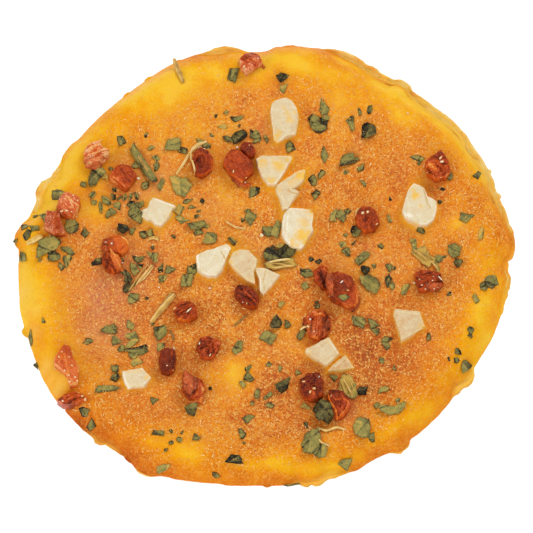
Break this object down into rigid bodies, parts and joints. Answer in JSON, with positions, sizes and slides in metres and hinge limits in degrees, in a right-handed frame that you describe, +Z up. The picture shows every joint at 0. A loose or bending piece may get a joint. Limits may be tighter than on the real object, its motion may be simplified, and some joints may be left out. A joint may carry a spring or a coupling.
{
  "type": "dried chicken pizza",
  "caption": "Flat oval baked disc with a puffed rim roll, thin edge lips, dried herb scraps, red vegetable dices and pale root chips on top.",
  "frame": {"origin": "middle of the disc's box, on the flat underside it rests on", "axes": "+Z up through the thickness, +X across the wider way to the right as seen in the picture, +Y away from the viewer"},
  "size_m": [0.115, 0.1057, 0.013],
  "materials": {
    "crust": "satin",
    "pale_chip": "matte",
    "red_dice": "semi-gloss"
  },
  "bodies": {
    "root": {"crust": "crust", "pale_chip_01": "pale_chip", "pale_chip_02": "pale_chip", "pale_chip_03": "pale_chip", "pale_chip_04": "pale_chip", "pale_chip_05": "pale_chip", "pale_chip_06": "pale_chip", "pale_chip_07": "pale_chip", "pale_chip_08": "pale_chip", "pale_chip_09": "pale_chip", "pale_chip_10": "pale_chip", "pale_chip_11": "pale_chip", "pale_chip_12": "pale_chip", "pale_chip_13": "pale_chip", "red_dice_01": "red_dice", "red_dice_02": "red_dice", "red_dice_03": "red_dice", "red_dice_04": "red_dice", "red_dice_05": "red_dice", "red_dice_06": "red_dice", "red_dice_07": "red_dice", "red_dice_08": "red_dice", "red_dice_09": "red_dice", "red_dice_10": "red_dice", "red_dice_11": "red_dice", "red_dice_12": "red_dice", "red_dice_13": "red_dice", "red_dice_14": "red_dice", "red_dice_15": "red_dice", "red_dice_16": "red_dice", "red_dice_17": "red_dice", "red_dice_18": "red_dice", "red_dice_19": "red_dice", "red_dice_20": "red_dice", "red_dice_21": "red_dice", "red_dice_22": "red_dice", "red_dice_23": "red_dice", "red_dice_24": "red_dice", "red_dice_25": "red_dice"}
  },
  "joints": []
}
